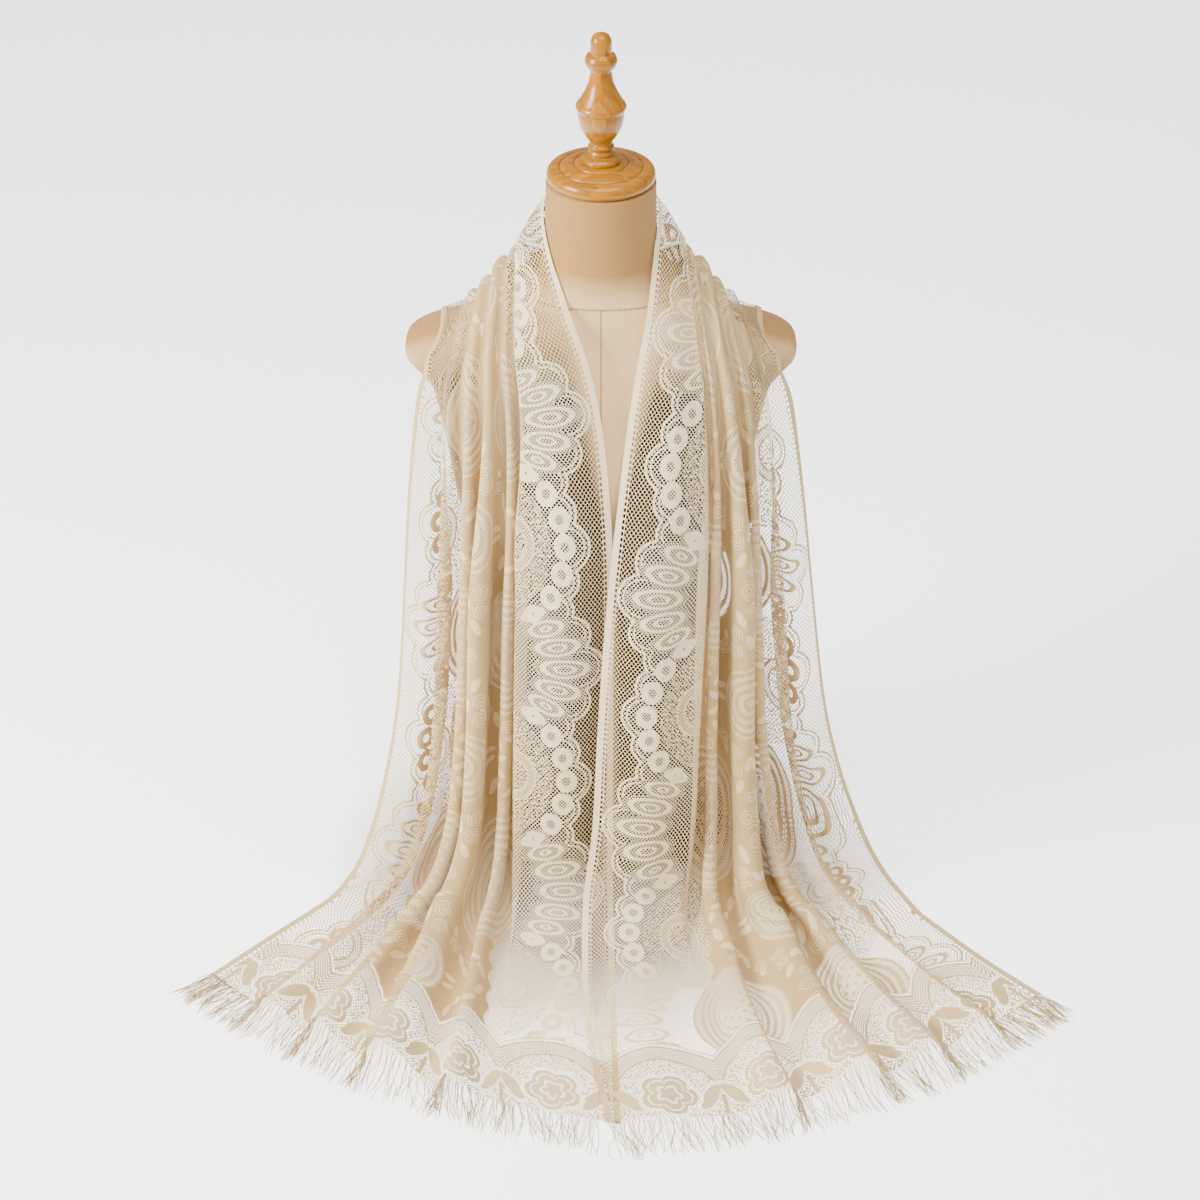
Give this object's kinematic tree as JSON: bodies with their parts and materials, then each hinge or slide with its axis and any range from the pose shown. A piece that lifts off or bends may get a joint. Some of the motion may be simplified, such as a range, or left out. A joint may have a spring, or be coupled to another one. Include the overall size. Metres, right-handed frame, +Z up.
{
  "type": "lace hijab shawl on a dress form",
  "caption": "Long fringed lace shawl draped round the neck of a limbless linen dress form with a turned wooden cap and finial; both ends fan out in folds where they rest.",
  "frame": {"origin": "on the surface it stands on, in the middle of the dress form's flat underside", "axes": "+Z up, -Y the way the form's front faces, +X to the right of a viewer who faces that front"},
  "size_m": [0.8736, 0.6668, 0.8864],
  "materials": {
    "linen": "matt",
    "honey_wood": "gloss varnish",
    "ivory_lace": "matt"
  },
  "bodies": {
    "root": {"form_torso": "linen", "neck_cap": "honey_wood", "finial": "honey_wood", "left_fall": "ivory_lace", "neck_wrap": "ivory_lace", "right_fall": "ivory_lace", "left_fringe": "ivory_lace", "right_fringe": "ivory_lace"}
  },
  "joints": []
}
